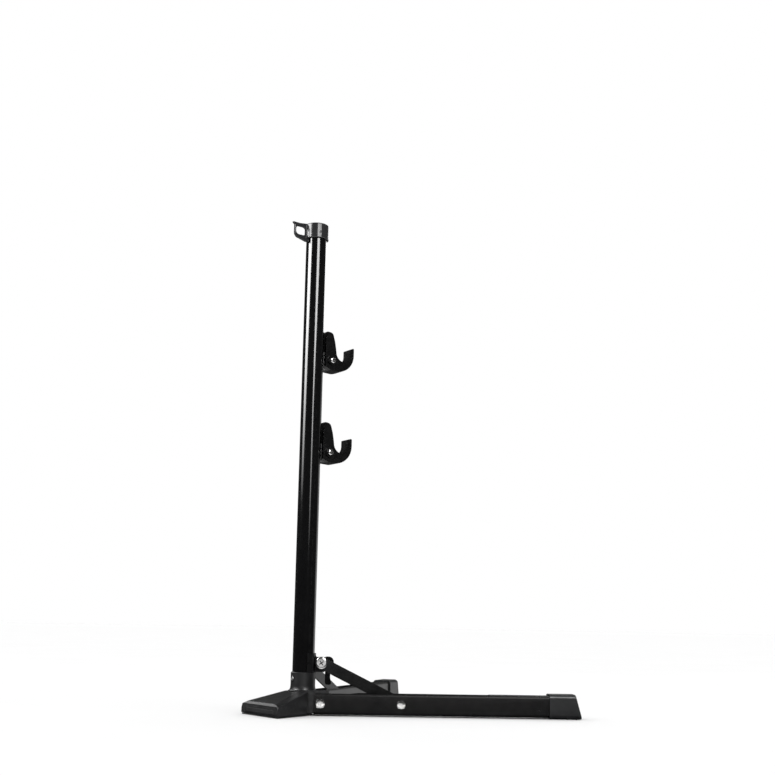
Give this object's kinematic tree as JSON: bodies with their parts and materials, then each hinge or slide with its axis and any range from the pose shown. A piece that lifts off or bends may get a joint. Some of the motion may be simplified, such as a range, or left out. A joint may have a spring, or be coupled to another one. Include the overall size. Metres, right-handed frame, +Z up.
{
  "type": "bicycle lift stand",
  "caption": "Folding floor stand for a bicycle: a round column carries padded J hooks on a gas lift, over hinged box-section legs with braces and a wedge foot.",
  "frame": {"origin": "on the floor under the column's axis, on the underside of the foot's rubber pad", "axes": "+Z up along the column; +X midway between the legs, the way the hooks point; -X towards the wedge foot; the right leg is on -Y"},
  "size_m": [0.4475, 0.5408, 0.8166],
  "materials": {
    "gloss_black": "glossy black powder coat",
    "satin_black": "satin black powder coat",
    "black_plastic": "fine textured black moulding",
    "black_rubber": "matte black rubber",
    "bright_steel": "bright plated steel",
    "plain_steel": "zinc plated steel"
  },
  "bodies": {
    "root": {"column_tube": "gloss_black", "top_cap": "black_plastic", "cap_pin": "plain_steel", "foot_base": "black_plastic", "foot_pad": "black_rubber", "foot_bumper": "black_rubber", "base_screw": "plain_steel", "strut_cylinder": "gloss_black", "strut_gland": "black_plastic", "right_leg_pivot_screw": "bright_steel", "right_leg_pivot_nut": "plain_steel", "left_leg_pivot_screw": "bright_steel", "left_leg_pivot_nut": "plain_steel"},
    "right_leg": {"right_leg": "satin_black", "right_leg_end": "black_rubber", "right_brace_lower_screw": "bright_steel", "right_brace_lower_nut": "plain_steel"},
    "left_leg": {"left_leg": "satin_black", "left_leg_end": "black_rubber", "left_brace_lower_screw": "bright_steel", "left_brace_lower_nut": "plain_steel"},
    "right_brace": {"right_brace": "satin_black", "right_brace_upper_screw": "bright_steel"},
    "left_brace": {"left_brace": "satin_black", "left_brace_upper_screw": "bright_steel"},
    "runner": {"runner": "black_plastic", "cam_pin": "bright_steel", "clamp_shoe": "plain_steel", "right_brace_upper_nut": "plain_steel", "left_brace_upper_nut": "plain_steel"},
    "cam_lever": {"cam_lever": "black_plastic"},
    "lift": {"carriage": "plain_steel", "lower_guide_ring": "black_plastic", "upper_guide_ring": "black_plastic", "lower_hook": "black_rubber", "lower_hook_screw": "bright_steel", "lower_hook_nut": "plain_steel", "upper_hook": "black_rubber", "upper_hook_screw": "bright_steel", "upper_hook_nut": "plain_steel", "strut_rod": "bright_steel", "strut_piston": "plain_steel"}
  },
  "joints": [
    {"name": "right_leg_fold", "type": "hinge", "parent": "root", "child": "right_leg", "pos_m": [0.01836, -0.02457, 0.0186], "axis": [-0.5621, -0.8271, 0], "range_deg": [0, 83]},
    {"name": "left_leg_fold", "type": "hinge", "parent": "root", "child": "left_leg", "pos_m": [0.01836, 0.02457, 0.0186], "axis": [0.5621, -0.8271, 0], "range_deg": [0, 83]},
    {"name": "runner_slide", "type": "slide", "parent": "root", "child": "runner", "axis": [0, 0, 1], "range_m": [0, 0.20551]},
    {"name": "right_brace_swing", "type": "hinge", "parent": "right_leg", "child": "right_brace", "pos_m": [0.12382, -0.09624, 0.0186], "axis": [-0.5621, -0.8271, 0], "range_deg": [-140.81, 0]},
    {"name": "left_brace_swing", "type": "hinge", "parent": "left_leg", "child": "left_brace", "pos_m": [0.12382, 0.09624, 0.0186], "axis": [0.5621, -0.8271, 0], "range_deg": [-140.81, 0]},
    {"name": "cam_lever_swing", "type": "hinge", "parent": "runner", "child": "cam_lever", "pos_m": [0.0465, 0, 0.08], "axis": [0, -1, 0], "range_deg": [0, 100]},
    {"name": "lift_slide", "type": "slide", "parent": "root", "child": "lift", "axis": [0, 0, 1], "range_m": [-0.09, 0.06]}
  ],
  "couplings": [
    {"joint": "left_leg_fold", "follows": "right_leg_fold", "ratio": 1},
    {"joint": "runner_slide", "follows": "right_leg_fold", "m_per_rad": 0.14186},
    {"joint": "right_brace_swing", "follows": "right_leg_fold", "ratio": -1.6964},
    {"joint": "left_brace_swing", "follows": "right_leg_fold", "ratio": -1.6964}
  ]
}
